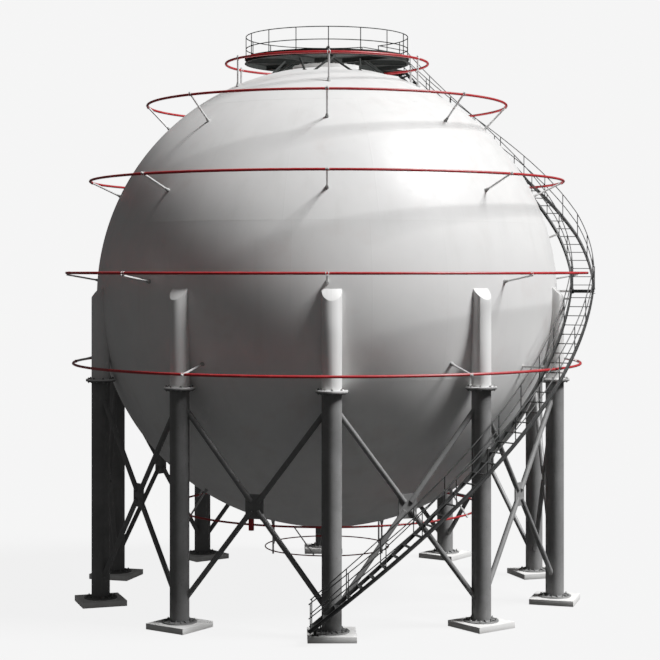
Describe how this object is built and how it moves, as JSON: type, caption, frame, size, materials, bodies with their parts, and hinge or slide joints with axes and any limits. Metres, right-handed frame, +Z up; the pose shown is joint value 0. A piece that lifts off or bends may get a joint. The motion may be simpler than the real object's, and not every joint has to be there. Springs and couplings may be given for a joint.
{
  "type": "spherical gas tank",
  "caption": "Spherical pressure tank on braced tubular columns, with red spray rings round the shell, a spiral stair and a round railed platform on top.",
  "frame": {"origin": "on the ground, on the vertical axis of the sphere, within 0.1 m of the middle of the object's box", "axes": "+Z up; -Y towards the column at the foot of the stair, which faces the camera in the picture; the stair winds from there towards +X"},
  "size_m": [18.097, 18.0952, 18.995],
  "materials": {
    "shell_paint": "satin light grey paint",
    "column_paint": "semi-matt dark grey paint",
    "footing_concrete": "cast concrete",
    "spray_pipe_red": "semi-gloss red paint",
    "stair_steel": "matt near-black paint",
    "platform_steel": "matt near-black paint"
  },
  "bodies": {
    "root": {"top_crown": "shell_paint", "upper_belt": "shell_paint", "equator_belt": "shell_paint", "lower_belt": "shell_paint", "bottom_crown": "shell_paint", "top_drum_and_vent": "shell_paint", "column_01": "column_paint", "column_02": "column_paint", "column_03": "column_paint", "column_04": "column_paint", "column_05": "column_paint", "column_06": "column_paint", "column_07": "column_paint", "column_08": "column_paint", "column_09": "column_paint", "column_10": "column_paint", "footing_01": "footing_concrete", "footing_02": "footing_concrete", "footing_03": "footing_concrete", "footing_04": "footing_concrete", "footing_05": "footing_concrete", "footing_06": "footing_concrete", "footing_07": "footing_concrete", "footing_08": "footing_concrete", "footing_09": "footing_concrete", "footing_10": "footing_concrete", "brace_01": "column_paint", "brace_02": "column_paint", "brace_03": "column_paint", "brace_04": "column_paint", "brace_05": "column_paint", "brace_06": "column_paint", "brace_07": "column_paint", "brace_08": "column_paint", "brace_09": "column_paint", "brace_10": "column_paint", "spray_ring_top": "spray_pipe_red", "spray_ring_shoulder": "spray_pipe_red", "spray_ring_upper": "spray_pipe_red", "spray_ring_equator": "spray_pipe_red", "spray_ring_lower": "spray_pipe_red", "spray_ring_under": "spray_pipe_red", "drain_ring": "spray_pipe_red", "stair_lower_flight": "stair_steel", "stair_landing": "stair_steel", "stair_upper_flight": "stair_steel", "handrail_lower_inner": "stair_steel", "handrail_lower_outer": "stair_steel", "handrail_upper_inner": "stair_steel", "handrail_upper_outer": "stair_steel", "stair_bridge": "platform_steel", "platform_deck": "platform_steel", "platform_frame": "platform_steel", "platform_guard_rail": "platform_steel"}
  },
  "joints": []
}
